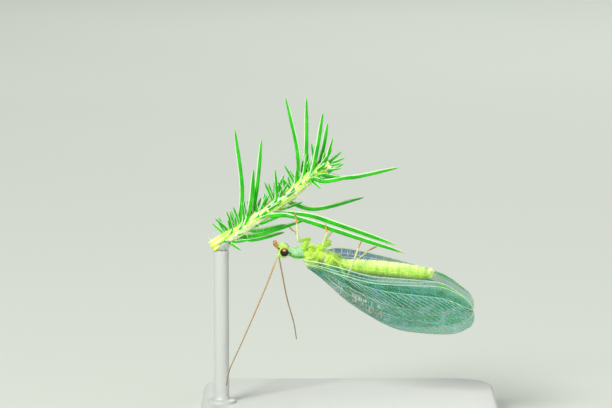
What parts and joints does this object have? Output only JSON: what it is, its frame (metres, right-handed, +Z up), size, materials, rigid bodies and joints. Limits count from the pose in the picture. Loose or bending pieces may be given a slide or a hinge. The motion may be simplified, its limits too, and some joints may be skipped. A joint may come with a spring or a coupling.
{
  "type": "green lacewing model on a stand",
  "caption": "Life-size green lacewing hanging upside down from needle leaves of a short cut stem, held by a plain base and rod.",
  "frame": {"origin": "underside of the stand's base, at its middle", "axes": "+Z up; +X from the insect's head towards its wing tips, the picture's right; +Y away from the viewer"},
  "size_m": [0.024, 0.016, 0.0267],
  "materials": {
    "wax_green": "waxy, slightly translucent yellow-green cuticle",
    "mint_green": "pale mint cuticle with a bright green upper margin",
    "eye_bronze": "glossy dark green with a copper and gold sheen",
    "palp_orange": "orange-brown",
    "feeler_tan": "tan, pale green at the root",
    "leg_green": "pale green, orange-brown at the feet",
    "wing_film": "clear film with pale green veins and a faint play of colour",
    "stem_green": "pale yellow-green with whitish streaks",
    "leaf_green": "bright green with a whitish upper edge",
    "stand_grey": "satin pale grey"
  },
  "bodies": {
    "root": {"head": "wax_green", "eye_left": "eye_bronze", "eye_right": "eye_bronze", "mouthparts": "palp_orange", "antenna_left": "feeler_tan", "antenna_right": "feeler_tan", "prothorax": "mint_green", "mesothorax": "wax_green", "metathorax": "wax_green", "abdomen": "wax_green", "forewing_left": "wing_film", "forewing_right": "wing_film", "hindwing_left": "wing_film", "hindwing_right": "wing_film", "leg_front_left": "leg_green", "leg_front_right": "leg_green", "leg_mid_left": "leg_green", "leg_mid_right": "leg_green", "leg_hind_left": "leg_green", "leg_hind_right": "leg_green", "perch_stem": "stem_green", "perch_leaf_lower": "leaf_green", "perch_leaf_upper": "leaf_green", "stand_base": "stand_grey", "stand_rod": "stand_grey"}
  },
  "joints": []
}
